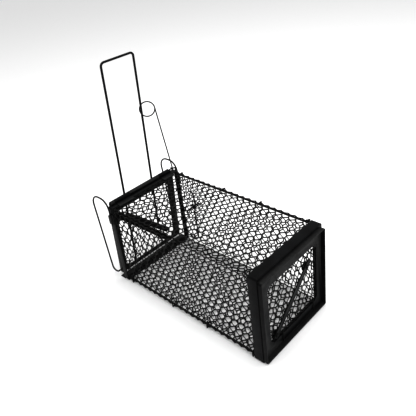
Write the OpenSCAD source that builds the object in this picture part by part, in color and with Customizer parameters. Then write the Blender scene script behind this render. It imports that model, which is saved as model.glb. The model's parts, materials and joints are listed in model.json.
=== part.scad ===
// Live catch trap: a wire-mesh cage with a sprung drop door, a long set lever,
// a latch wire and a bait hook. The door end faces -X and the closed end faces +X.
// Origin: centre of the bounding box at floor level. Millimetres, +Z up.

/* [Cage] */
// Length from the door-end band to the rim of the closed end
cage_l = 240; // [220:1:280]
// Width over the end bands
cage_w = 115; // [105:1:130]
// Height over the end bands
cage_h = 114; // [105:1:125]
// Thickness of the pressed sheet
sheet_t = 1.0; // [0.8:0.1:1.2]
// Thickness of the mesh sheet
mesh_t = 1.4; // [1.0:0.1:1.8]
// Width of a mesh strand
strand_w = 1.6; // [1.2:0.1:2.4]
// Width of the door-end band along the cage
door_band_w = 8; // [6:0.5:12]
// How far the sill reaches out under the door
sill_l = 8; // [0:0.5:10]
// Width of the closed-end band along the cage
rear_band_w = 12; // [8:0.5:16]
// Height that the floor mesh stands above the ground
floor_lift = 1.6; // [1.4:0.1:3]

/* [Door] */
// Gap between each side of the door and the outside of the cage
door_gap = 3.5; // [3:0.5:6]
// Width of the door frame's border on the side away from the latch
door_border = 8; // [7:0.5:12]
// Width of the door frame's border on the latch side
latch_border = 11; // [8:0.5:14]
// Angle that the shut door stands ajar
door_lean = 3.5; // [0:0.5:5]
// Depth of the door frame's turned-out rim
door_rim = 4; // [3:0.5:6]
// Radius of the hinge rod
hinge_rod_r = 1.5; // [1.2:0.1:2]
// Radial play of the door's rolls on the hinge rod
hinge_play = 0.08; // [0.05:0.01:0.1]

/* [Lever and wires] */
// Height of the lever's top bar above the roof
lever_rise = 176; // [120:1:190]
// Diameter of the lever wire
lever_d = 2.7; // [2:0.1:3.2]
// Diameter of the door spring wire
spring_d = 2.0; // [1.4:0.1:2.4]
// How far the door springs bow out in front of the door band
spring_reach = 30; // [24:1:34]
// Diameter of the latch wire
latch_d = 1.5; // [1.2:0.1:2]
// Length of the latch stem
latch_l = 89; // [80:1:92]
// Radius of the latch ring, at the middle of its wire
latch_ring_r = 9.9; // [8:0.1:11]
// Diameter of the bait hook wire
hook_d = 1.6; // [1.4:0.1:2]
// Diameter of the tie wire
tie_d = 1.1; // [0.8:0.1:1.4]

/* [Closed end] */
// Depth of the closed-end panel's turned-out rim
rear_rim = 5; // [4:0.5:7]
// Gap between the roof of the cage and the top of the closed-end panel
rear_drop = 4.5; // [3:0.5:6]
// Width of the closed-end panel's side borders
rear_border = 12.5; // [10:0.5:16]

/* [Hidden] */
$fn = 32;
paint = [0.06, 0.06, 0.065];
mesh_paint = [0.08, 0.08, 0.085];
wire_paint = [0.10, 0.10, 0.105];

half_w = cage_w / 2;
hex_border = 2;
mesh_x0 = 0.5;
mesh_x1 = cage_l - rear_rim - sheet_t - mesh_t - 0.6;
mesh_l = mesh_x1 - mesh_x0;
inner_half_w = half_w - sheet_t;
roof_top = cage_h - sheet_t;
wall_z0 = floor_lift + mesh_t;
wall_h = roof_top - mesh_t - wall_z0;
long_cols = 23;
roof_rows = 13;
wall_rows = 13;
// The roof and floor sheets stop short of the bands' inner corners
corner_r = 0.6;
flat_half_w = inner_half_w - corner_r;

// Hinge axis of the door, along Y; its rolls clear the band's top by 0.4
hinge_x = 1.2;
roll_r = hinge_rod_r + hinge_play + sheet_t;
hinge_z = cage_h + roll_r + 0.4;
door_x = hinge_x - roll_r;
door_half_w = half_w - door_gap;
door_z0 = 3.5;
door_open_top = cage_h - 14;
tab_y = [[-47, -24], [28, 46]];
hinge_end = tab_y[1][1] + 0.5;

// Door mesh, with the cells that the lever and the rivets pass through
door_mesh_y = [-48, 45];
door_mesh_z = [7.5, 104.5];
door_cols = 9;
door_rows = 12;
lever_x = door_x - sheet_t - lever_d / 2;

rear_x = cage_l - rear_rim - sheet_t;
rear_top = cage_h - rear_drop;
rear_mesh_half = inner_half_w - 3;
rear_mesh_z = [5, rear_top - 3];
rear_cols = 10;
rear_rows = 11;

// Latch: pivot, direction when the trap is sprung and when it is set
latch_pivot = [3.7, 51.7, cage_h + 4.5];
latch_up = unit([-14.5, -0.6, 85]);
latch_set = unit([0.875, -0.465, 0.131]);
latch_axis = unit(cross(latch_up, latch_set));
// The ring lies beside the stem, turned by this much from the cage's length
ring_turn = 52;
staple_r = 0.9;
hook_z = cage_h + 2.2;
hook_bar_r = 1;
hook_arm_rise = 21.4;
hook_arm_l = 5;
spring_y = half_w + spring_d / 2 + 0.6;
spring_hole = [door_x - 2.2, door_z0 + 4];
spring_foot = leaned(spring_hole);
front_reach = spring_d / 2 - min([for (p = spring_path(1)) p.x]);
mid_x = (cage_l - front_reach) / 2;

// ---- vectors, paths and tubes ----
function unit(v) = v / norm(v);
// A point (X, Z) of the flush door where the leaning door has it
function leaned(p) =
    let (d = p - [hinge_x, hinge_z], c = cos(door_lean), s = sin(door_lean))
    [hinge_x + d.x * c + d.y * s, hinge_z - d.x * s + d.y * c];
function tangent(p, i) = unit(p[min(i + 1, len(p) - 1)] - p[max(i - 1, 0)]);
function level(n, t) = unit(n - (n * t) * t);
function first_normal(t) = level(abs(t.x) > 0.8 ? [0, 1, 0] : [1, 0, 0], t);
function next_normal(p, i, n) = level(n, tangent(p, min(i, len(p) - 1)));
// One normal at each point of a path, carried along it without twist
function normals(p) = [
    for (i = 0, n = first_normal(tangent(p, 0)); i < len(p); i = i + 1, n = next_normal(p, i, n)) n
];
function ring(centre, n, b, r, sides) = [
    for (k = [0 : sides - 1]) centre + r * (cos(360 * k / sides) * n + sin(360 * k / sides) * b)
];
// The fillet at corner p between the directions to a and b
function fillet(a, p, b, r, n) =
    let (u = unit(a - p), v = unit(b - p), half = acos(u * v) / 2, turn = 180 - 2 * half)
    let (c = p + unit(u + v) * r / sin(half))
    let (s = p + u * r / tan(half) - c, e = p + v * r / tan(half) - c)
    [for (k = [0 : n]) c + (s * sin(turn * (1 - k / n)) + e * sin(turn * k / n)) / sin(turn)];
// A line through pts with its inner corners rounded
function rounded(pts, radii, n = 8) = concat(
    [pts[0]],
    [for (i = [1 : len(pts) - 2]) each fillet(pts[i - 1], pts[i], pts[i + 1], radii[i - 1], n)],
    [pts[len(pts) - 1]]
);
// A closed loop through pts with all corners rounded
function rounded_loop(pts, r, n = 4) = [
    for (i = [0 : len(pts) - 1])
        each fillet(pts[(i + len(pts) - 1) % len(pts)], pts[i], pts[(i + 1) % len(pts)], r, n)
];

// Round wire along a path
module tube(path, d, sides = 12) {
    ns = normals(path);
    rings = [
        for (i = [0 : len(path) - 1])
            each ring(path[i], ns[i], cross(tangent(path, i), ns[i]), d / 2, sides)
    ];
    last = (len(path) - 1) * sides;
    faces = concat(
        [[for (k = [sides - 1 : -1 : 0]) k]],
        [for (i = [0 : len(path) - 2]) for (k = [0 : sides - 1])
            let (k2 = (k + 1) % sides)
            [i * sides + k, i * sides + k2, (i + 1) * sides + k2, (i + 1) * sides + k]],
        [[for (k = [0 : sides - 1]) last + k]]
    );
    polyhedron(rings, [for (f = faces) [for (k = [len(f) - 1 : -1 : 0]) f[k]]]);
}

// Closed round wire: a flat loop in the YZ plane at x
module yz_loop(x, pts, r, d, sides = 8) {
    path = rounded_loop([for (q = pts) [x, q[0], q[1]]], r);
    count = len(path);
    points = [
        for (i = [0 : count - 1])
            let (t = unit(path[(i + 1) % count] - path[(i + count - 1) % count]))
            each ring(path[i], [1, 0, 0], cross(t, [1, 0, 0]), d / 2, sides)
    ];
    faces = [
        for (i = [0 : count - 1]) for (k = [0 : sides - 1])
            let (j = (i + 1) % count, k2 = (k + 1) % sides)
            [j * sides + k, j * sides + k2, i * sides + k2, i * sides + k]
    ];
    polyhedron(points, faces);
}

// ---- sheets ----
// Puts a flat shape drawn in (Y, Z) on the plane x = x0, with thickness t towards +X
module on_x(x0, t) {
    translate([x0, 0, 0]) rotate([90, 0, 90]) linear_extrude(t) children();
}

module rounded_rect(x0, y0, x1, y1, r) {
    translate([x0 + r, y0]) square([x1 - x0 - 2 * r, y1 - y0]);
    translate([x0, y0 + r]) square([x1 - x0, y1 - y0 - 2 * r]);
    for (x = [x0 + r, x1 - r]) for (y = [y0 + r, y1 - r]) translate([x, y]) circle(r);
}

module chamfered_rect(x0, y0, x1, y1, c) {
    polygon([
        [x0 + c, y0], [x1 - c, y0], [x1, y0 + c], [x1, y1 - c],
        [x1 - c, y1], [x0 + c, y1], [x0, y1 - c], [x0, y0 + c]
    ]);
}

function pitch_x(l, cols) = (l - 2 * hex_border) / (cols + 0.5);
function hole_r(l, cols) = (pitch_x(l, cols) - strand_w) / sqrt(3);
function pitch_y(l, w, cols, rows) = (w - 2 * hex_border - 2 * hole_r(l, cols)) / (rows - 1);
// Centre of one mesh cell on a sheet of l by w that starts at the origin
function cell(l, w, cols, rows, i, j) = [
    hex_border + pitch_x(l, cols) * (i + 0.5 + (j % 2) / 2),
    hex_border + hole_r(l, cols) + pitch_y(l, w, cols, rows) * j
];

module hex_sheet(l, w, cols, rows) {
    difference() {
        square([l, w]);
        for (i = [0 : cols - 1]) for (j = [0 : rows - 1])
            translate(cell(l, w, cols, rows, i, j)) rotate(30) circle(hole_r(l, cols), $fn = 6);
    }
}

function door_cell(i, j) =
    cell(door_mesh_y[1] - door_mesh_y[0], door_mesh_z[1] - door_mesh_z[0], door_cols, door_rows, i, j)
    + [door_mesh_y[0], door_mesh_z[0]];
function rear_cell(i, j) =
    cell(2 * rear_mesh_half, rear_mesh_z[1] - rear_mesh_z[0], rear_cols, rear_rows, i, j)
    + [-rear_mesh_half, rear_mesh_z[0]];
function long_cell(i, j) = mesh_x0 + cell(mesh_l, 2 * flat_half_w, long_cols, roof_rows, i, j).x;

// A flat strap in the YZ plane from a to b, running on past them, with a hole at each
module strap(x0, t, a, b, w, before, after, hole) {
    d = unit(b - a);
    on_x(x0, t) difference() {
        translate(a - d * before) rotate(atan2(d.y, d.x))
            translate([0, -w / 2]) square([norm(b - a) + before + after, w]);
        for (q = [a, b]) translate(q) circle(hole);
    }
}

// A rivet along X through q: a domed head outside and a washer inside
module rivet(q, x_head, head_dir, x_washer) {
    shank = abs(x_washer - x_head) + sheet_t;
    translate([x_head, q[0], q[1]]) rotate([0, head_dir * 90, 0]) cylinder(h = 1.2, r1 = 2.8, r2 = 1.8);
    translate([x_head, q[0], q[1]]) rotate([0, -head_dir * 90, 0]) cylinder(h = shank, r = 1.5);
    translate([x_washer, q[0], q[1]]) rotate([0, -head_dir * 90, 0]) cylinder(h = sheet_t, r = 5.6);
}

// ---- fixed cage ----
module place() {
    translate([-mid_x, 0, 0]) children();
}

module end_band(x0, w) {
    on_x(x0, w) difference() {
        rounded_rect(-half_w, 0, half_w, cage_h, 2.5);
        rounded_rect(-inner_half_w, sheet_t, inner_half_w, cage_h - sheet_t, corner_r);
    }
}

module flat_mesh(z0) {
    translate([mesh_x0, -flat_half_w, z0])
        linear_extrude(mesh_t) hex_sheet(mesh_l, 2 * flat_half_w, long_cols, roof_rows);
}

module wall_mesh(y0) {
    translate([mesh_x0, y0 + mesh_t, wall_z0]) rotate([90, 0, 0])
        linear_extrude(mesh_t) hex_sheet(mesh_l, wall_h, long_cols, wall_rows);
}

module roof_mesh() { color(mesh_paint) place() flat_mesh(roof_top - mesh_t); }
module floor_mesh() { color(mesh_paint) place() flat_mesh(floor_lift); }
module left_wall_mesh() { color(mesh_paint) place() wall_mesh(-inner_half_w); }
module right_wall_mesh() { color(mesh_paint) place() wall_mesh(inner_half_w - mesh_t); }

// Rods inside the two laced edges of the cage
edge_rod_r = 1.1;
edge_in = mesh_t + edge_rod_r + 0.05;
module edge_rod(y, z) {
    translate([mesh_x0, y, z]) rotate([0, 90, 0]) cylinder(h = mesh_l, r = edge_rod_r);
}
module edge_rod_bottom() {
    color(wire_paint) place() edge_rod(-inner_half_w + edge_in, floor_lift + edge_in);
}
module edge_rod_top() {
    color(wire_paint) place() edge_rod(inner_half_w - edge_in, roof_top - edge_in);
}

// Ties lace the mesh sheets together through the cells next to an edge
tie_reach = 7;
tie_cells = [1, 9, 15, 22];
module edge_tie(i, side, z_edge, up) {
    out = tie_d / 2 + 0.05;
    y_edge = side * inner_half_w;
    yz_loop(long_cell(i, 0), [
        [y_edge + side * out, z_edge - up * out],
        [y_edge - side * tie_reach, z_edge - up * out],
        [y_edge - side * tie_reach, z_edge + up * (mesh_t + out)],
        [y_edge - side * (mesh_t + out), z_edge + up * tie_reach],
        [y_edge + side * out, z_edge + up * tie_reach]
    ], 0.7, tie_d);
}
module mesh_ties() {
    color(wire_paint) place() {
        for (i = tie_cells) edge_tie(i, -1, floor_lift, 1);
        for (i = tie_cells) edge_tie(i, 1, roof_top, -1);
        edge_tie(22, -1, roof_top, -1);
    }
}

// The door-end band has a sill that the door's lower edge hangs over
module door_end_band() {
    color(paint) place() {
        end_band(0, door_band_w);
        translate([-sill_l, -half_w, 0]) cube([sill_l + 1, cage_w, sheet_t]);
    }
}
module rear_end_band() { color(paint) place() end_band(cage_l - rear_rim - rear_band_w, rear_band_w); }

// ---- closed end ----
rear_opening = [rear_border - inner_half_w + 2, 14, inner_half_w - rear_border + 1.5, rear_top - 16.5];
rear_tie_z = 3.9;
module rear_panel_frame() {
    color(paint) place() {
        on_x(rear_x, sheet_t) difference() {
            rounded_rect(-inner_half_w, sheet_t, inner_half_w, roof_top, 2);
            chamfered_rect(rear_opening[0], rear_opening[1], rear_opening[2], rear_opening[3], 5);
            for (i = rear_tie_cells) translate([rear_cell(i, 1).x, rear_tie_z]) circle(tie_d / 2 + 0.1);
        }
        on_x(rear_x, rear_rim + sheet_t) difference() {
            rounded_rect(-inner_half_w, sheet_t, inner_half_w, rear_top, 2);
            rounded_rect(-inner_half_w + sheet_t, 2 * sheet_t,
                inner_half_w - sheet_t, rear_top - sheet_t, 1.2);
        }
    }
}
module rear_panel_mesh() {
    color(mesh_paint) place() on_x(rear_x - mesh_t, mesh_t)
        translate([-rear_mesh_half, rear_mesh_z[0]])
            hex_sheet(2 * rear_mesh_half, rear_mesh_z[1] - rear_mesh_z[0], rear_cols, rear_rows);
}
rear_rivets = [rear_cell(1, 1), rear_cell(7, 7)];
strap_t = 1.2;
module rear_brace() {
    color(paint) place() strap(rear_x, strap_t, rear_rivets[0], rear_rivets[1], 7, 4, 9, 1.6);
}
module rear_brace_rivets() {
    color(wire_paint) place()
        for (q = rear_rivets) rivet(q, rear_x + strap_t, 1, rear_x - mesh_t);
}
// Two wire loops hold the mesh to the panel's lower border
rear_tie_cells = [2, 8];
module rear_panel_ties() {
    top = rear_cell(0, 1).y - 3;
    color(wire_paint) place() for (i = rear_tie_cells)
        translate([0, rear_cell(i, 1).x, 0]) rotate([0, 0, 90]) yz_loop(0, [
            [-rear_x - sheet_t - 1, rear_tie_z],
            [-rear_x - sheet_t - 1, top],
            [-rear_x + mesh_t + 1, top],
            [-rear_x + mesh_t + 1, rear_tie_z]
        ], 0.8, tie_d);
}

// ---- hinge ----
module roll(y0, y1, bore_r) {
    translate([hinge_x, y0, hinge_z]) rotate([-90, 0, 0]) difference() {
        cylinder(h = y1 - y0, r = roll_r);
        translate([0, 0, -1]) cylinder(h = y1 - y0 + 2, r = bore_r);
    }
}
tab_l = 13;
module hinge_tab(span) {
    roll(span[0], span[1], hinge_rod_r + 0.02);
    difference() {
        translate([hinge_x, span[0], cage_h]) cube([tab_l - hinge_x, span[1] - span[0], sheet_t]);
        translate([hinge_x, span[0] - 1, hinge_z]) rotate([-90, 0, 0])
            cylinder(h = span[1] - span[0] + 2, r = hinge_rod_r + 0.02);
    }
}
module hinge_tab_left() { color(paint) place() hinge_tab(tab_y[0]); }
module hinge_tab_right() { color(paint) place() hinge_tab(tab_y[1]); }
module hinge_rod() {
    color(wire_paint) place() translate([hinge_x, -door_half_w + 1, hinge_z])
        rotate([-90, 0, 0]) cylinder(h = hinge_end + door_half_w - 1, r = hinge_rod_r);
}

// ---- door springs: a hairpin on each side, from the band's post to the door's foot ----
function spring_path(side) =
    let (y = side * spring_y)
    rounded([
        [4, y, cage_h - 25],
        [4, y, cage_h - 3],
        [1, y, cage_h + 10.5],
        [-spring_reach, y, cage_h + 10.5],
        [spring_foot.x - 10, y, spring_foot.y - 1],
        [spring_foot.x, y, spring_foot.y],
        [spring_foot.x, side * (door_half_w - 3), spring_foot.y]
    ], [5, 13, 14, 6, 1.4], 8);
module spring(side) {
    tube(spring_path(side), spring_d);
}
module spring_left() { color(wire_paint) place() spring(-1); }
module spring_right() { color(wire_paint) place() spring(1); }

// Saddle that holds the upper leg of a spring on the band's post
clip_h = 12;
module spring_clip(side) {
    gap = spring_d + 0.6;
    translate([4, side * half_w, cage_h - 22]) mirror([0, side < 0 ? 1 : 0, 0]) difference() {
        translate([-3.8, 0, 0]) cube([7.6, gap + sheet_t, clip_h]);
        translate([-gap / 2, -1, -1]) cube([gap, gap + 1, clip_h + 2]);
        for (x = [-4.8, gap / 2 + sheet_t])
            translate([x, sheet_t, -1]) cube([4.8 - gap / 2 - sheet_t, gap + 1, clip_h + 2]);
    }
}
module spring_clip_left() { color(paint) place() spring_clip(-1); }
module spring_clip_right() { color(paint) place() spring_clip(1); }

// ---- roof fittings ----
// The staple's bar lies along the latch's hinge axis
module latch_staple() {
    reach = 4.2;
    a = latch_pivot - reach * latch_axis;
    b = latch_pivot + reach * latch_axis;
    color(wire_paint) place()
        tube(rounded([[a.x, a.y, cage_h], a, b, [b.x, b.y, cage_h]], [1.2, 1.2], 5), 2 * staple_r);
}
hook_x = long_cell(9, 6);
module hook_bar() {
    color(wire_paint) place() tube(rounded([
        [hook_x, -10, roof_top], [hook_x, -10, hook_z], [hook_x, 10, hook_z], [hook_x, 10, roof_top]
    ], [1.5, 1.5], 5), 2 * hook_bar_r);
}

// ---- door: drawn flush with the cage, then hung at its leaning angle ----
lever_left = door_cell(1, 9);
lever_right = door_cell(6, 3);
door_rivets = [door_cell(0, 10), door_cell(6, 1)];
lever_top = cage_h + lever_rise;
lever_foot_z = 6.3;
module hang() {
    place() translate([hinge_x, 0, hinge_z]) rotate([0, door_lean, 0])
        translate([-hinge_x, 0, -hinge_z]) children();
}
module door_frame() {
    top = door_open_top;
    color(paint) hang() difference() {
        union() {
            on_x(door_x, sheet_t) difference() {
                rounded_rect(-door_half_w, door_z0, door_half_w, hinge_z, 0.8);
                chamfered_rect(-door_half_w + door_border, door_z0 + 6,
                    door_half_w - latch_border, top, 5);
                for (s = concat(tab_y, [[hinge_end, cage_w]]))
                    translate([s[0] - 0.5, hinge_z - roll_r - 0.8]) square([s[1] - s[0] + 1, 20]);
            }
            on_x(door_x - door_rim, door_rim) difference() {
                translate([-door_half_w, door_z0]) square([2 * door_half_w, top - door_z0]);
                translate([-door_half_w + sheet_t, door_z0 + sheet_t])
                    square([2 * door_half_w - 2 * sheet_t, top]);
            }
            roll(-door_half_w + 0.5, tab_y[0][0] - 0.5, hinge_rod_r);
            roll(tab_y[0][1] + 0.5, tab_y[1][0] - 0.5, hinge_rod_r);
        }
        translate([hinge_x, -half_w, hinge_z]) rotate([-90, 0, 0])
            cylinder(h = cage_w, r = hinge_rod_r + hinge_play);
        translate([spring_hole.x, -half_w, spring_hole.y]) rotate([-90, 0, 0])
            cylinder(h = cage_w, r = spring_d / 2 + 0.3);
        translate([door_x - 2, lever_left.x, lever_foot_z]) rotate([0, 90, 0])
            cylinder(h = 5, r = lever_d / 2 + 0.2);
    }
}

module door_mesh() {
    color(mesh_paint) hang() on_x(door_x + sheet_t, mesh_t) difference() {
        translate([door_mesh_y[0], door_mesh_z[0]]) hex_sheet(door_mesh_y[1] - door_mesh_y[0],
            door_mesh_z[1] - door_mesh_z[0], door_cols, door_rows);
        translate([lever_left.x, lever_foot_z]) circle(3);
    }
}
// The brace lies on the frame's outer face, behind the lever
door_strap_w = 7.5;
module door_brace() {
    color(paint) hang()
        strap(door_x - sheet_t, sheet_t, door_rivets[0], door_rivets[1], door_strap_w, 5, 19, 1.6);
}
module door_brace_rivets() {
    color(wire_paint) hang()
        for (q = door_rivets) rivet(q, door_x - sheet_t, -1, door_x + sheet_t + mesh_t);
}
clamp_x = door_x + sheet_t + mesh_t;
// Wire clip round the lever's left leg, through the mesh and the clamp, along the clamp
clip_r = 3.2;
clip_feet = [for (s = [-1, 1]) lever_left + s * clip_r * unit(lever_right - lever_left)];
module lever_clamp() {
    color(paint) hang() difference() {
        strap(clamp_x, strap_t, lever_left, lever_right, door_strap_w, 5.5, 16, lever_d / 2 + 0.2);
        for (q = clip_feet) translate([clamp_x - 1, q.x, q.y]) rotate([0, 90, 0])
            cylinder(h = 4, r = latch_d / 2 + 0.2);
    }
}
module lever_clip() {
    inside = clamp_x + strap_t + 1.5;
    outside = lever_x - (lever_d + latch_d) / 2 - 0.15;
    a = clip_feet[0];
    b = clip_feet[1];
    path = rounded([[inside, a.x, a.y], [outside, a.x, a.y], [outside, b.x, b.y], [inside, b.x, b.y]],
        [1.6, 1.6], 6);
    color(wire_paint) hang() tube(path, latch_d);
}
module door_lever() {
    path = rounded([
        [clamp_x, lever_left.x, lever_foot_z],
        [lever_x, lever_left.x, lever_foot_z],
        [lever_x, lever_left.x, lever_top],
        [lever_x, lever_right.x, lever_top],
        [lever_x, lever_right.x, lever_right.y],
        [clamp_x + strap_t + 0.8, lever_right.x, lever_right.y]
    ], [1.6, 4.5, 4.5, 1.6], 7);
    color(wire_paint) hang() tube(path, lever_d);
}

// ---- latch ----
// An eye round the staple, a straight stem and a closed ring beside the stem's end
module latch_wire() {
    side = cross(latch_axis, latch_up);
    eye_r = staple_r + latch_d / 2 + 0.25;
    rise = latch_d + 0.2;
    eye = [for (k = [0 : 14])
        let (a = 330 * (1 - k / 14))
        latch_pivot + eye_r * (cos(a) * side - sin(a) * latch_up) - rise * (a / 330) * latch_axis];
    stem_top = latch_pivot + eye_r * side + latch_l * latch_up;
    across = level([-cos(ring_turn), -sin(ring_turn), 0], latch_up);
    hub = stem_top + latch_ring_r * across;
    loop = [for (k = [0 : 35])
        let (a = 352 * k / 35)
        hub + latch_ring_r * (sin(a) * latch_up - cos(a) * across) + cross(across, latch_up) * rise * k / 35];
    color(wire_paint) place() tube(concat(eye, loop), latch_d);
}

// ---- bait hook ----
module bait_hook() {
    r = hook_bar_r + hook_d / 2 + 0.15;
    shift = hook_d + 0.1;
    low = cage_h - 38;
    spike = [for (k = [0 : 12])
        let (a = -150 + 150 * k / 12)
        [hook_x + r - 8 + 8 * cos(a), 0, low + 8 * sin(a)]];
    turn = [for (k = [0 : 16])
        let (a = 360 * k / 16)
        [hook_x + r * cos(a), shift * k / 16, hook_z + r * sin(a)]];
    arm = rounded([
        [hook_x + r, shift, hook_z + 4],
        [hook_x + 1, shift, cage_h + hook_arm_rise],
        [hook_x - hook_arm_l, shift, cage_h + hook_arm_rise]
    ], [2], 5);
    color(wire_paint) place() tube(concat(spike, turn, arm), hook_d);
}

roof_mesh();
floor_mesh();
left_wall_mesh();
right_wall_mesh();
edge_rod_bottom();
edge_rod_top();
mesh_ties();
door_end_band();
rear_end_band();
rear_panel_frame();
rear_panel_mesh();
rear_brace();
rear_brace_rivets();
rear_panel_ties();
hinge_tab_left();
hinge_tab_right();
hinge_rod();
spring_left();
spring_right();
spring_clip_left();
spring_clip_right();
latch_staple();
hook_bar();
door_frame();
door_mesh();
door_brace();
door_brace_rivets();
door_lever();
lever_clamp();
lever_clip();
latch_wire();
bait_hook();
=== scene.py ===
import json
import math

import bmesh
import bpy
import numpy as np
from mathutils import Matrix, Vector


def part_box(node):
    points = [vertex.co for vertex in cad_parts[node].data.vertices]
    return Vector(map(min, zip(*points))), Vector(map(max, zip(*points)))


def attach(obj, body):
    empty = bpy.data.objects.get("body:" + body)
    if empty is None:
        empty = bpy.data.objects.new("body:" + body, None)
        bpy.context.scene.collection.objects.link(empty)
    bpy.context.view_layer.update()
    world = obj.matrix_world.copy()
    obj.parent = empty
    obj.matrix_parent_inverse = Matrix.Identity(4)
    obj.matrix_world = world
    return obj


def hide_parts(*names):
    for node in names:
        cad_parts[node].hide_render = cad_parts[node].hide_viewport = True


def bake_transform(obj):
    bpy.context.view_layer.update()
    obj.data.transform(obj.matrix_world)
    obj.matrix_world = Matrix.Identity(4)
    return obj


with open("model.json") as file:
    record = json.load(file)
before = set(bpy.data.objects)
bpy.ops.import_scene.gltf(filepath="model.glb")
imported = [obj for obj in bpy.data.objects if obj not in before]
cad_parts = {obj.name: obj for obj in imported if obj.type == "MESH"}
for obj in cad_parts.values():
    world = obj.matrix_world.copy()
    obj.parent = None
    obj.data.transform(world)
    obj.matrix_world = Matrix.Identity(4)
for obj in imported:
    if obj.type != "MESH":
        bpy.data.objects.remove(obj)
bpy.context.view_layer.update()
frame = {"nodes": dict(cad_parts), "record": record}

MM = 0.001
NODES = frame["nodes"]
BEHAVIOUR = frame["record"]["behaviour"]
BODY_OF = {node: body for body, nodes in BEHAVIOUR["bodies"].items() for node in nodes}
SLOT_OF = {row["node"]: row["material_slot"] for row in frame["record"]["subparts"]}
JOINTS = {joint["name"]: joint for joint in BEHAVIOUR["joints"]}

# ---- sizes ----
CAGE_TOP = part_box("door_end_band")[1].z
DOOR_HINGE = Vector(JOINTS["door_swing"]["pos_m"])
# Degrees that the shut door stands ajar
DOOR_LEAN = 3.5

# Edges sharper than this many degrees stay sharp
SHEET_SHARP = 36
WIRE_SHARP = 50
EDGE_ROLL = 0.35 * MM

# Expanded metal: the strands zigzag along a panel, and the bonds join them across it
STRAND_W = 1.9 * MM
BOND_W = 2.3 * MM
STRAND_T = 0.8 * MM
SHORTEST_RIBBON = 0.4 * MM
# Radians that the ribbons are twisted out of the panel's plane
STRAND_TILT = 0.4
BOND_TILT = -0.25
# A strand's corners swing this share of a row up and down
ZIGZAG = 0.24
# A ribbon's section, as shares of half its width and half its thickness
RIBBON_SECTION = [(-1, 0), (-0.6, -1), (0.6, -1), (1, 0), (0.6, 1), (-0.6, 1)]
# How wide a ribbon is at its start, middle and end, as a share of its full width
RIBBON_WAIST = ((0, 0.92), (0.5, 0.8), (1, 0.92))
# Share of its width that a ribbon runs on past each corner, into its neighbours
RIBBON_OVERLAP = 0.28
# Unevenness out of the panel's plane, and the most that it may reach
WARP = 0.1 * MM
WARP_LIMIT = 0.05 * MM

TIE_R = 0.55 * MM
TAIL_LENGTH = 6.5 * MM
TAIL_STEPS = 14
TAIL_SIDES = 8
TAIL_TWIST = 3 * math.pi
TAIL_FLARE = 0.8
# Neighbouring tails lean opposite ways along the edge
TAIL_LEANS = (-0.7, 0.55)

# Spacing of the rings cut up each spring's height
SPRING_CUT = 3 * MM

# ---- camera ----
CAMERA_AZIMUTH = 46.4
CAMERA_ELEVATION = 27.98
CAMERA_ROLL = -7.4
CAMERA_DISTANCE = 620.7 * MM
CAMERA_LENS = 44.2
# The picture is the lower part of a wider view
CAMERA_SHIFT = (-0.003, -0.0962)
# The point the camera looks at, from the middle of the cage's floor
CAMERA_AIM = Vector((-15.4, 39, 149.5)) * MM


def add_camera():
    azimuth = math.radians(CAMERA_AZIMUTH)
    elevation = math.radians(CAMERA_ELEVATION)
    roll = math.radians(CAMERA_ROLL)
    forward = Vector((
        -math.sin(azimuth) * math.cos(elevation),
        math.cos(azimuth) * math.cos(elevation),
        -math.sin(elevation),
    ))
    level_right = forward.cross(Vector((0, 0, 1))).normalized()
    level_up = level_right.cross(forward)
    right = math.cos(roll) * level_right + math.sin(roll) * level_up
    up = math.cos(roll) * level_up - math.sin(roll) * level_right
    data = bpy.data.cameras.new("camera")
    data.lens = CAMERA_LENS
    data.shift_x, data.shift_y = CAMERA_SHIFT
    data.clip_start = 0.01
    camera = bpy.data.objects.new("camera", data)
    bpy.context.scene.collection.objects.link(camera)
    place = Matrix((right, up, -forward)).transposed().to_4x4()
    place.translation = CAMERA_AIM - CAMERA_DISTANCE * forward
    camera.matrix_world = place
    bpy.context.scene.camera = camera


# ---- materials ----
BARE_STEEL = (0.16, 0.16, 0.155, 1)
# Colours run from dark to light and roughness from low to high; grain is the scale of the orange peel
PAINTS = {
    "sheet_paint": {
        "dark": (0.003, 0.003, 0.0033), "light": (0.007, 0.0075, 0.0082),
        "rough": (0.3, 0.5), "grain": 1600, "bump": 0.35, "wear": 0.25, "specular": 0.1,
    },
    "mesh_paint": {
        "dark": (0.003, 0.003, 0.0032), "light": (0.008, 0.008, 0.0085),
        "rough": (0.35, 0.6), "grain": 2400, "bump": 0.5, "wear": 0.15, "specular": 0.07,
    },
    "wire_paint": {
        "dark": (0.004, 0.004, 0.0045), "light": (0.009, 0.009, 0.0095),
        "rough": (0.35, 0.55), "grain": 2200, "bump": 0.4, "wear": 0.2, "specular": 0.08,
    },
    "spring_paint": {
        "dark": (0.005, 0.005, 0.0055), "light": (0.014, 0.014, 0.015),
        "rough": (0.25, 0.45), "grain": 2200, "bump": 0.3, "wear": 0.25, "specular": 0.12,
    },
}


def noise_node(nodes, links, coords, scale, detail, roughness=0.5):
    noise = nodes.new("ShaderNodeTexNoise")
    noise.inputs["Scale"].default_value = scale
    noise.inputs["Detail"].default_value = detail
    noise.inputs["Roughness"].default_value = roughness
    links.new(coords.outputs["Object"], noise.inputs["Vector"])
    return noise


def range_node(nodes, links, source, low, high, out_low, out_high):
    node = nodes.new("ShaderNodeMapRange")
    node.inputs["From Min"].default_value = low
    node.inputs["From Max"].default_value = high
    node.inputs["To Min"].default_value = out_low
    node.inputs["To Max"].default_value = out_high
    links.new(source, node.inputs["Value"])
    return node


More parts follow.
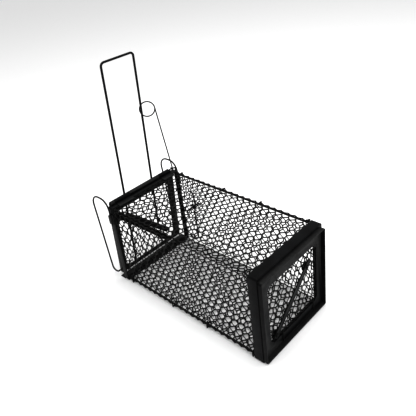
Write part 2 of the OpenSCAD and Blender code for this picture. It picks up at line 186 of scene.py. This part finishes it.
def blotchy_colour(nodes, links, coords, dark, light):
    """Paint colour that drifts between dark and light."""
    blotch = noise_node(nodes, links, coords, 60, 4)
    tint = nodes.new("ShaderNodeValToRGB")
    tint.color_ramp.elements[0].position = 0.35
    tint.color_ramp.elements[0].color = (*dark, 1)
    tint.color_ramp.elements[1].position = 0.7
    tint.color_ramp.elements[1].color = (*light, 1)
    links.new(blotch.outputs["Fac"], tint.inputs["Fac"])
    return tint.outputs["Color"]


def worn_edges(nodes, links, coords, paint, wear):
    """The paint's colour, scuffed to bare steel where an edge is sharp."""
    geometry = nodes.new("ShaderNodeNewGeometry")
    edge = range_node(nodes, links, geometry.outputs["Pointiness"], 0.54, 0.62, 0, wear)
    scuff = noise_node(nodes, links, coords, 340, 5, 0.65)
    scuffed = nodes.new("ShaderNodeMath")
    scuffed.operation = "MULTIPLY"
    links.new(edge.outputs["Result"], scuffed.inputs[0])
    links.new(scuff.outputs["Fac"], scuffed.inputs[1])
    worn = nodes.new("ShaderNodeMix")
    worn.data_type = "RGBA"
    worn.inputs["B"].default_value = BARE_STEEL
    links.new(scuffed.outputs["Value"], worn.inputs["Factor"])
    links.new(paint, worn.inputs["A"])
    return worn.outputs["Result"]


def orange_peel(nodes, links, coords, grain, bump):
    """Surface normals of paint with a fine grain on long, low waves."""
    peel = noise_node(nodes, links, coords, grain, 3)
    waves = noise_node(nodes, links, coords, 45, 1)
    height = nodes.new("ShaderNodeMath")
    height.operation = "MULTIPLY_ADD"
    height.inputs[1].default_value = 2.5
    links.new(waves.outputs["Fac"], height.inputs[0])
    links.new(peel.outputs["Fac"], height.inputs[2])
    bumps = nodes.new("ShaderNodeBump")
    bumps.inputs["Strength"].default_value = bump
    bumps.inputs["Distance"].default_value = 0.15 * MM
    links.new(height.outputs["Value"], bumps.inputs["Height"])
    return bumps.outputs["Normal"]


def painted_metal(name, dark, light, rough, grain, bump, wear, specular):
    """Black paint on steel: blotchy colour, uneven gloss, orange peel, and grey wear on sharp edges."""
    material = bpy.data.materials.new(name)
    material.use_nodes = True
    nodes = material.node_tree.nodes
    links = material.node_tree.links
    shader = nodes["Principled BSDF"]
    shader.inputs["Specular IOR Level"].default_value = specular
    shader.inputs["Coat Weight"].default_value = 0.02
    shader.inputs["Coat Roughness"].default_value = 0.25
    coords = nodes.new("ShaderNodeTexCoord")

    paint = blotchy_colour(nodes, links, coords, dark, light)
    links.new(worn_edges(nodes, links, coords, paint, wear), shader.inputs["Base Color"])

    gloss = noise_node(nodes, links, coords, 140, 6, 0.6)
    gloss_range = range_node(nodes, links, gloss.outputs["Fac"], 0.3, 0.7, *rough)
    links.new(gloss_range.outputs["Result"], shader.inputs["Roughness"])

    links.new(orange_peel(nodes, links, coords, grain, bump), shader.inputs["Normal"])
    return material


def make_materials():
    return {name: painted_metal(name, **paint) for name, paint in PAINTS.items()}


# ---- meshes ----
def new_object(name, mesh, slot, materials):
    obj = bpy.data.objects.new(name, mesh)
    bpy.context.scene.collection.objects.link(obj)
    mesh.materials.clear()
    mesh.materials.append(materials[slot])
    return obj


def smooth_shading(mesh, angle):
    mesh.shade_smooth()
    mesh.set_sharp_from_angle(angle=math.radians(angle))


def welded_copy(node):
    """A bmesh copy of a CAD node, with its doubled corners joined."""
    work = bmesh.new()
    work.from_mesh(NODES[node].data)
    bmesh.ops.remove_doubles(work, verts=work.verts, dist=0.001 * MM)
    return work


def apply_modifiers(obj):
    """Applies the object's modifiers to its mesh."""
    graph = bpy.context.evaluated_depsgraph_get()
    mesh = bpy.data.meshes.new_from_object(obj.evaluated_get(graph))
    obj.modifiers.clear()
    obj.data = mesh


def pressed_sheet(node, materials):
    """The node's sheet metal with its sharp edges rolled over."""
    work = welded_copy(node)
    bmesh.ops.dissolve_limit(work, angle_limit=math.radians(0.5), verts=work.verts, edges=work.edges)
    mesh = bpy.data.meshes.new(node + "_finished")
    work.to_mesh(mesh)
    work.free()
    obj = new_object(node + "_finished", mesh, SLOT_OF[node], materials)
    bevel = obj.modifiers.new("rolled_edges", "BEVEL")
    bevel.width = EDGE_ROLL
    bevel.segments = 3
    bevel.limit_method = "ANGLE"
    bevel.angle_limit = math.radians(32)
    apply_modifiers(obj)
    smooth_shading(obj.data, SHEET_SHARP)
    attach(obj, BODY_OF[node])
    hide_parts(node)


def round_wire(node, materials, cut_step=None):
    """The node's wire with smooth sides; cut_step adds rings up its height so that it can bend."""
    work = welded_copy(node)
    bmesh.ops.join_triangles(
        work, faces=work.faces,
        angle_face_threshold=math.radians(4), angle_shape_threshold=math.radians(40))
    if cut_step:
        low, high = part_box(node)
        for height in np.arange(low.z + cut_step, high.z, cut_step):
            bmesh.ops.bisect_plane(
                work, geom=[*work.verts, *work.edges, *work.faces],
                plane_co=(0, 0, height), plane_no=(0, 0, 1))
    mesh = bpy.data.meshes.new(node + "_wire")
    work.to_mesh(mesh)
    work.free()
    smooth_shading(mesh, WIRE_SHARP)
    obj = new_object(node + "_wire", mesh, SLOT_OF[node], materials)
    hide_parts(node)
    return obj


# ---- expanded metal ----
def lattice(width, height, cols, rows, rng, jitter):
    """Corners of a hexagonal mesh, and its strands and bonds as pairs of corner numbers."""
    pitch = width / cols
    row = height / rows
    swing = ZIGZAG * row
    points = np.zeros((rows + 1, 2 * cols + 1, 2))
    for j in range(rows + 1):
        for k in range(2 * cols + 1):
            side = 1 if (j + k) % 2 else -1
            points[j, k] = (k * pitch / 2, j * row + side * swing)
    points += rng.normal(0, jitter, points.shape)
    points[..., 0] = np.clip(points[..., 0], 0, width)
    points[..., 1] = np.clip(points[..., 1], 0, height)
    points[:, 0, 0] = 0
    points[:, -1, 0] = width

    def number(j, k):
        return j * (2 * cols + 1) + k

    strands = [(number(j, k), number(j, k + 1)) for j in range(rows + 1) for k in range(2 * cols)]
    bonds = [
        (number(j, k), number(j + 1, k))
        for j in range(rows) for k in range(2 * cols + 1) if (j + k) % 2
    ]
    rim = [
        (number(j, k), number(j + 1, k))
        for j in range(rows) for k in (0, 2 * cols) if not (j + k) % 2
    ]
    return points.reshape(-1, 2), strands, bonds + rim


def ribbon_prisms(corners, pairs, normal, width, thickness, tilt):
    """A flat ribbon with chamfered edges along each pair of corners, tilted about its own length."""
    start = corners[[a for a, b in pairs]]
    end = corners[[b for a, b in pairs]]
    along = end - start
    length = np.linalg.norm(along, axis=1, keepdims=True)
    along = along / length
    keep = length[:, 0] > SHORTEST_RIBBON
    start, end, along = start[keep], end[keep], along[keep]
    across = np.cross(normal, along)
    across /= np.linalg.norm(across, axis=1, keepdims=True)
    out = np.cross(along, across)
    wide = math.cos(tilt) * across + math.sin(tilt) * out
    thick = math.cos(tilt) * out - math.sin(tilt) * across
    reach = RIBBON_OVERLAP * width
    rings = []
    for share, scale in RIBBON_WAIST:
        centre = start + (end - start) * share + along * reach * (2 * share - 1)
        for u, v in RIBBON_SECTION:
            rings.append(centre + wide * u * scale * width / 2 + thick * v * thickness / 2)
    vertices = np.stack(rings, axis=1)
    sides = len(RIBBON_SECTION)
    faces = [
        (r * sides + s, r * sides + (s + 1) % sides, (r + 1) * sides + (s + 1) % sides, (r + 1) * sides + s)
        for r in range(2) for s in range(sides)
    ]
    caps = [tuple(reversed(range(sides))), tuple(range(2 * sides, 3 * sides))]
    return vertices, faces + caps


def door_turn(degrees):
    """Rotation about the door's hinge."""
    middle = Matrix.Translation(DOOR_HINGE)
    return middle @ Matrix.Rotation(math.radians(degrees), 4, "Y") @ middle.inverted()


def expanded_mesh(node, cols, rows, jitter, seed, materials):
    """Expanded metal in place of a perforated CAD panel, which is square to the cage or leans as the door."""
    rng = np.random.default_rng(seed)
    lean = DOOR_LEAN if BODY_OF[node] == "door" else 0
    unlean = door_turn(-lean)
    upright = np.array([unlean @ vertex.co for vertex in NODES[node].data.vertices])
    low, high = upright.min(axis=0), upright.max(axis=0)
    size = high - low
    thin = int(np.argmin(size))
    u_axis, v_axis = (axis for axis in range(3) if axis != thin)
    inset = STRAND_W * 0.55
    flat, strands, bonds = lattice(
        size[u_axis] - 2 * inset, size[v_axis] - 2 * inset, cols, rows, rng, jitter)
    corners = np.zeros((len(flat), 3))
    corners[:, u_axis] = low[u_axis] + inset + flat[:, 0]
    corners[:, v_axis] = low[v_axis] + inset + flat[:, 1]
    warp = np.clip(rng.normal(0, WARP, len(flat)), -WARP_LIMIT, WARP_LIMIT)
    corners[:, thin] = (low[thin] + high[thin]) / 2 + warp
    normal = np.zeros(3)
    normal[thin] = 1
    vertices, faces = [], []
    for pairs, width, tilt in ((strands, STRAND_W, STRAND_TILT), (bonds, BOND_W, BOND_TILT)):
        ribbons, pattern = ribbon_prisms(corners, pairs, normal, width, STRAND_T, tilt)
        for ribbon in ribbons:
            base = len(vertices) * len(ribbon)
            faces.extend(tuple(base + i for i in face) for face in pattern)
            vertices.append(ribbon)
    mesh = bpy.data.meshes.new(node + "_expanded")
    mesh.from_pydata(np.concatenate(vertices).tolist(), [], faces)
    mesh.validate()
    mesh.transform(door_turn(lean))
    smooth_shading(mesh, WIRE_SHARP)
    obj = new_object(node + "_expanded", mesh, SLOT_OF[node], materials)
    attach(obj, BODY_OF[node])
    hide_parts(node)


# ---- tie tails ----
def tube(points, radius, sides):
    """Corners and faces of a round wire through points, closed at both ends."""
    vertices, faces = [], []
    last = len(points) - 1
    normal = (points[1] - points[0]).normalized().orthogonal().normalized()
    for i, point in enumerate(points):
        along = (points[min(i + 1, last)] - points[max(i - 1, 0)]).normalized()
        normal = (normal - normal.dot(along) * along).normalized()
        side = along.cross(normal)
        for s in range(sides):
            angle = 2 * math.pi * s / sides
            vertices.append(point + radius * (math.cos(angle) * normal + math.sin(angle) * side))
    for i in range(last):
        for s in range(sides):
            t = (s + 1) % sides
            faces.append((i * sides + s, i * sides + t, (i + 1) * sides + t, (i + 1) * sides + s))
    faces.append(tuple(reversed(range(sides))))
    faces.append(tuple(range(last * sides, len(points) * sides)))
    return vertices, faces


def twisted_tail(name, root, direction, materials):
    """The two twisted ends of a tie, bent out from the mesh."""
    root, direction = Vector(root), Vector(direction).normalized()
    side = direction.orthogonal().normalized()
    other = direction.cross(side)
    vertices, faces = [], []
    for phase in (0, math.pi):
        points = []
        for step in range(TAIL_STEPS + 1):
            share = step / TAIL_STEPS
            angle = phase + TAIL_TWIST * share
            spread = TIE_R * (1 + TAIL_FLARE * share * share)
            points.append(
                root + direction * TAIL_LENGTH * share
                + spread * (math.cos(angle) * side + math.sin(angle) * other))
        wire, skin = tube(points, TIE_R, TAIL_SIDES)
        base = len(vertices)
        faces.extend(tuple(base + i for i in face) for face in skin)
        vertices.extend(wire)
    mesh = bpy.data.meshes.new(name)
    mesh.from_pydata(vertices, [], faces)
    smooth_shading(mesh, WIRE_SHARP)
    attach(new_object(name, mesh, "wire_paint", materials), "cage")


def loose_part_boxes(node):
    """Lowest and highest corner of each separate part of a CAD node."""
    work = welded_copy(node)
    remaining = set(work.verts)
    boxes = []
    while remaining:
        part, queue = set(), [remaining.pop()]
        while queue:
            vertex = queue.pop()
            part.add(vertex)
            for edge in vertex.link_edges:
                linked = edge.other_vert(vertex)
                if linked in remaining:
                    remaining.remove(linked)
                    queue.append(linked)
        low = Vector([min(vertex.co[axis] for vertex in part) for axis in range(3)])
        high = Vector([max(vertex.co[axis] for vertex in part) for axis in range(3)])
        boxes.append((low, high))
    work.free()
    return boxes


def add_tie_tails(materials):
    """A tail at every tie, lying along the laced edge on the inside of the cage's outline."""
    # The parts come in no fixed order, so they are sorted edge by edge, and along each edge
    boxes = sorted(
        loose_part_boxes("mesh_ties"),
        key=lambda box: (box[0].y > 0, box[0].z > CAGE_TOP / 2, box[0].x))
    for number, (low, high) in enumerate(boxes):
        middle = (low + high) / 2
        top = middle.z > CAGE_TOP / 2
        inward = 1 if middle.y < 0 else -1
        outer_y = low.y if middle.y < 0 else high.y
        z = high.z - 2 * TIE_R if top else low.z + 3.2 * TIE_R
        lift = -0.1 if top else 0.5
        twisted_tail(
            f"tie_tail_{number}", (middle.x, outer_y + inward * 3 * TIE_R, z),
            (TAIL_LEANS[number % 2], inward * 0.75, lift), materials)


# ---- stage ----
FLOOR_SIZE = 12
# The floor lies just under the cage, so that the two surfaces don't fight
FLOOR_DROP = 0.15 * MM
WORLD_STRENGTH = 0.85
# Below 1, this darkens the middle tones, so that thin black wires look black
VIEW_GAMMA = 0.72


def add_floor():
    bpy.ops.mesh.primitive_plane_add(size=FLOOR_SIZE, location=(0, 0, -FLOOR_DROP))
    floor = bpy.context.object
    floor.name = "floor"
    material = bpy.data.materials.new("pale_floor")
    material.use_nodes = True
    shader = material.node_tree.nodes["Principled BSDF"]
    shader.inputs["Base Color"].default_value = (0.9, 0.9, 0.9, 1)
    shader.inputs["Roughness"].default_value = 0.9
    shader.inputs["Specular IOR Level"].default_value = 0.1
    floor.data.materials.append(material)


def area_light(name, place, target, size, power):
    data = bpy.data.lights.new(name, "AREA")
    data.shape = "RECTANGLE"
    data.size, data.size_y = size
    data.energy = power
    light = bpy.data.objects.new(name, data)
    light.location = place
    light.rotation_euler = (Vector(target) - Vector(place)).to_track_quat("-Z", "Y").to_euler()
    bpy.context.scene.collection.objects.link(light)


def add_lights():
    world = bpy.data.worlds.new("studio")
    world.use_nodes = True
    world.node_tree.nodes["Background"].inputs["Color"].default_value = (1, 1, 1, 1)
    world.node_tree.nodes["Background"].inputs["Strength"].default_value = WORLD_STRENGTH
    bpy.context.scene.world = world
    area_light("top_softbox", place=(0.1, 0.1, 1.3), target=(0, 0, 0.05), size=(1.4, 1.4), power=14)
    area_light("end_softbox", place=(1.3, -0.2, 0.7), target=(0.1, 0, 0.06), size=(0.9, 0.9), power=7)


def set_tones():
    view = bpy.context.scene.view_settings
    view.view_transform = "Standard"
    view.gamma = VIEW_GAMMA


# ---- the trap ----
SHEET_PARTS = [
    "door_end_band", "rear_end_band", "rear_panel_frame", "rear_brace", "hinge_tab_left",
    "hinge_tab_right", "spring_clip_left", "spring_clip_right", "door_frame", "door_brace",
    "lever_clamp", "rear_brace_rivets", "door_brace_rivets",
]
WIRE_PARTS = [
    "edge_rod_bottom", "edge_rod_top", "mesh_ties", "rear_panel_ties", "hinge_rod", "latch_staple",
    "hook_bar", "door_lever", "lever_clip", "latch_wire", "bait_hook",
]
# Cells along and across each panel, and how uneven they are
MESH_PANELS = {
    "roof_mesh": (24, 13, 0.2 * MM), "floor_mesh": (24, 13, 0.25 * MM),
    "left_wall_mesh": (24, 12, 0.2 * MM), "right_wall_mesh": (24, 12, 0.2 * MM),
    "rear_panel_mesh": (11, 11, 0.3 * MM), "door_mesh": (9, 10, 0.55 * MM),
}


def build_springs(materials):
    """Each hairpin spring as a smooth wire, with rings cut up its height and its placement baked into its
    mesh.
    """
    for side in ("left", "right"):
        node = "spring_" + side
        spring = round_wire(node, materials, SPRING_CUT)
        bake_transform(spring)


def build_trap(materials):
    for node in SHEET_PARTS:
        pressed_sheet(node, materials)
    for node in WIRE_PARTS:
        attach(round_wire(node, materials), BODY_OF[node])
    for seed, (node, (cols, rows, jitter)) in enumerate(MESH_PANELS.items()):
        expanded_mesh(node, cols, rows, jitter, seed, materials)
    build_springs(materials)
    add_tie_tails(materials)


add_camera()
add_floor()
add_lights()
set_tones()
build_trap(make_materials())
